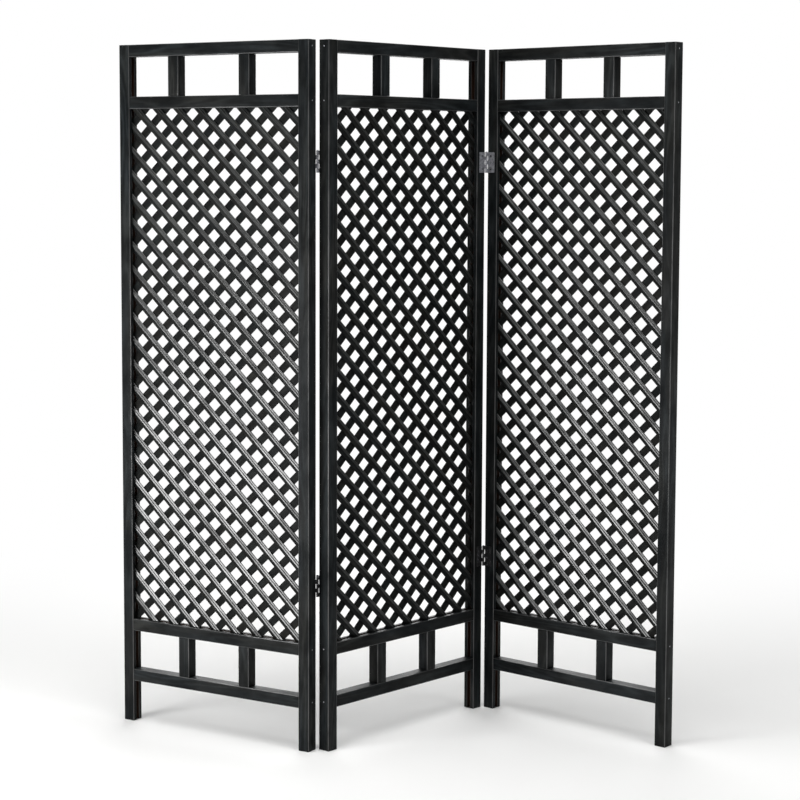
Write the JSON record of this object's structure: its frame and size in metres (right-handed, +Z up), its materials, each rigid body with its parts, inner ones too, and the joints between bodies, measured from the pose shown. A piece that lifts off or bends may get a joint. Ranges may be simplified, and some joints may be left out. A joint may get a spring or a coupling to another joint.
{
  "type": "folding lattice screen",
  "caption": "Hinged panel screen standing in a zigzag: grooved black wooden frames hold open diagonal lattice, with rows of square windows above and below it.",
  "frame": {"origin": "on the floor, below the centre of the whole screen's box in the zigzag of the picture", "axes": "+Z up along the stiles; the front of the screen faces -Y; +X to the right seen from the front"},
  "size_m": [1.3578, 0.4274, 1.7],
  "materials": {
    "black_wood": "black stain, satin, fine grain showing",
    "black_slats": "black stain, satin, moulded and finely reeded",
    "hinge_steel": "dull grey"
  },
  "bodies": {
    "middle_panel": {"middle_stile_a": "black_wood", "middle_stile_b": "black_wood", "middle_rail_top": "black_wood", "middle_rail_upper": "black_wood", "middle_rail_lower": "black_wood", "middle_rail_bottom": "black_wood", "middle_muntin_top_a": "black_wood", "middle_muntin_top_b": "black_wood", "middle_muntin_bottom_a": "black_wood", "middle_muntin_bottom_b": "black_wood", "middle_lattice": "black_slats", "left_fold_hinge_lower_middle_leaf": "hinge_steel", "right_fold_hinge_lower_middle_leaf": "hinge_steel", "left_fold_hinge_upper_middle_leaf": "hinge_steel", "right_fold_hinge_upper_middle_leaf": "hinge_steel"},
    "left_panel": {"left_stile_a": "black_wood", "left_stile_b": "black_wood", "left_rail_top": "black_wood", "left_rail_upper": "black_wood", "left_rail_lower": "black_wood", "left_rail_bottom": "black_wood", "left_muntin_top_a": "black_wood", "left_muntin_top_b": "black_wood", "left_muntin_bottom_a": "black_wood", "left_muntin_bottom_b": "black_wood", "left_lattice": "black_slats", "left_fold_hinge_lower_left_leaf": "hinge_steel", "left_fold_hinge_lower_pin": "hinge_steel", "left_fold_hinge_upper_left_leaf": "hinge_steel", "left_fold_hinge_upper_pin": "hinge_steel"},
    "right_panel": {"right_stile_a": "black_wood", "right_stile_b": "black_wood", "right_rail_top": "black_wood", "right_rail_upper": "black_wood", "right_rail_lower": "black_wood", "right_rail_bottom": "black_wood", "right_muntin_top_a": "black_wood", "right_muntin_top_b": "black_wood", "right_muntin_bottom_a": "black_wood", "right_muntin_bottom_b": "black_wood", "right_lattice": "black_slats", "right_fold_hinge_lower_pin": "hinge_steel", "right_fold_hinge_lower_right_leaf": "hinge_steel", "right_fold_hinge_upper_pin": "hinge_steel", "right_fold_hinge_upper_right_leaf": "hinge_steel"}
  },
  "joints": [
    {"name": "left_fold", "type": "hinge", "parent": "middle_panel", "child": "left_panel", "pos_m": [-0.1844, -0.18562, 0], "axis": [0, 0, 1], "range_deg": [-102.5, 77.5]},
    {"name": "right_fold", "type": "hinge", "parent": "middle_panel", "child": "right_panel", "pos_m": [0.23844, 0.1896, 0], "axis": [0, 0, 1], "range_deg": [-92.5, 87.5]}
  ]
}
